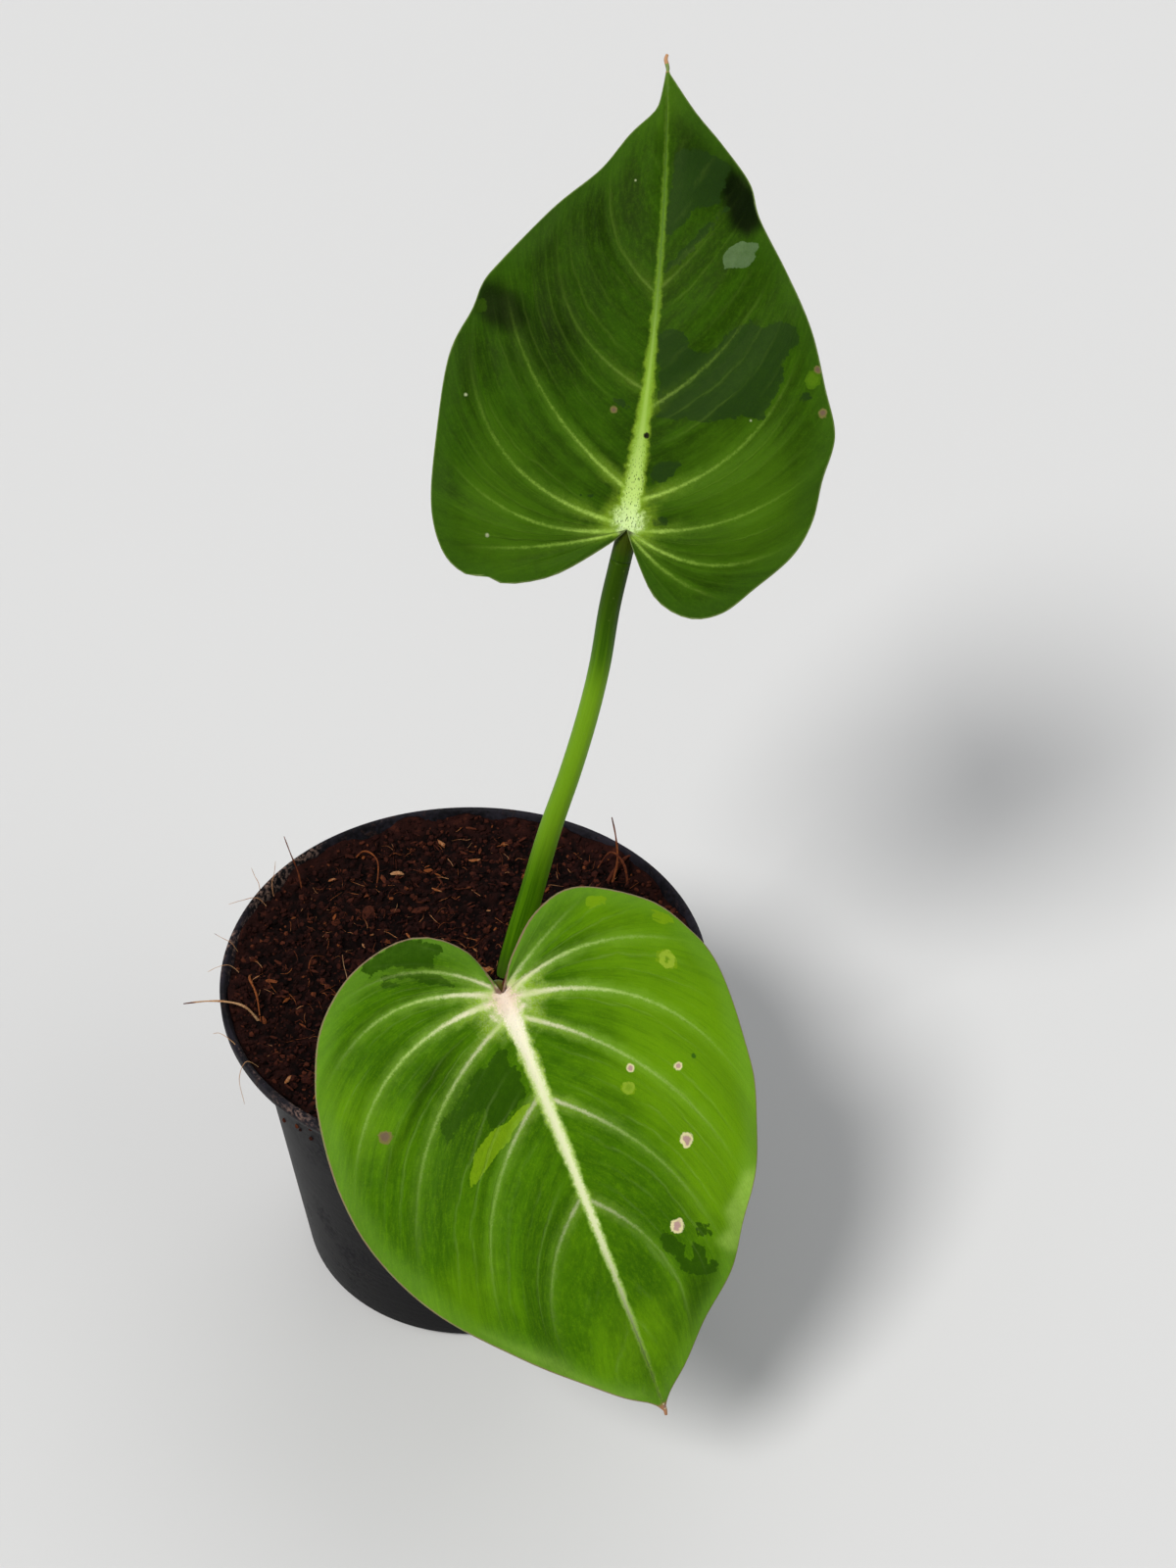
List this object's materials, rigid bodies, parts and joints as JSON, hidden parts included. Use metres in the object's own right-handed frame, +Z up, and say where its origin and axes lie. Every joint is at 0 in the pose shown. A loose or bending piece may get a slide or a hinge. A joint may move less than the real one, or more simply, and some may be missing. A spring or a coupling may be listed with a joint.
{
  "type": "potted philodendron gloriosum",
  "caption": "Young philodendron gloriosum with broad heart-shaped velvet leaves on slim stalks, creeping stem and roots, in a round black nursery pot filled with coir mix.",
  "frame": {"origin": "centre of the flat disc in the middle of the pot's base, on the surface that the pot stands on", "axes": "+Z up along the pot's axis; the front leaf leans over the rim towards -Y and +X"},
  "size_m": [0.1519, 0.1849, 0.2957],
  "materials": {
    "pot_plastic": "thin black moulded plastic, slightly glossy, dusty",
    "coir_mix": "matt, crumbly, fibrous",
    "rhizome_skin": "satin plant skin",
    "stalk": "smooth satin plant skin",
    "leaf_dark": "velvety, with pale veins",
    "leaf_bright": "velvety, with cream veins"
  },
  "bodies": {
    "root": {"pot": "pot_plastic", "potting_mix": "coir_mix", "rhizome": "rhizome_skin", "petiole_upper": "stalk", "petiole_front": "stalk", "leaf_upper": "leaf_dark", "leaf_front": "leaf_bright"}
  },
  "joints": []
}
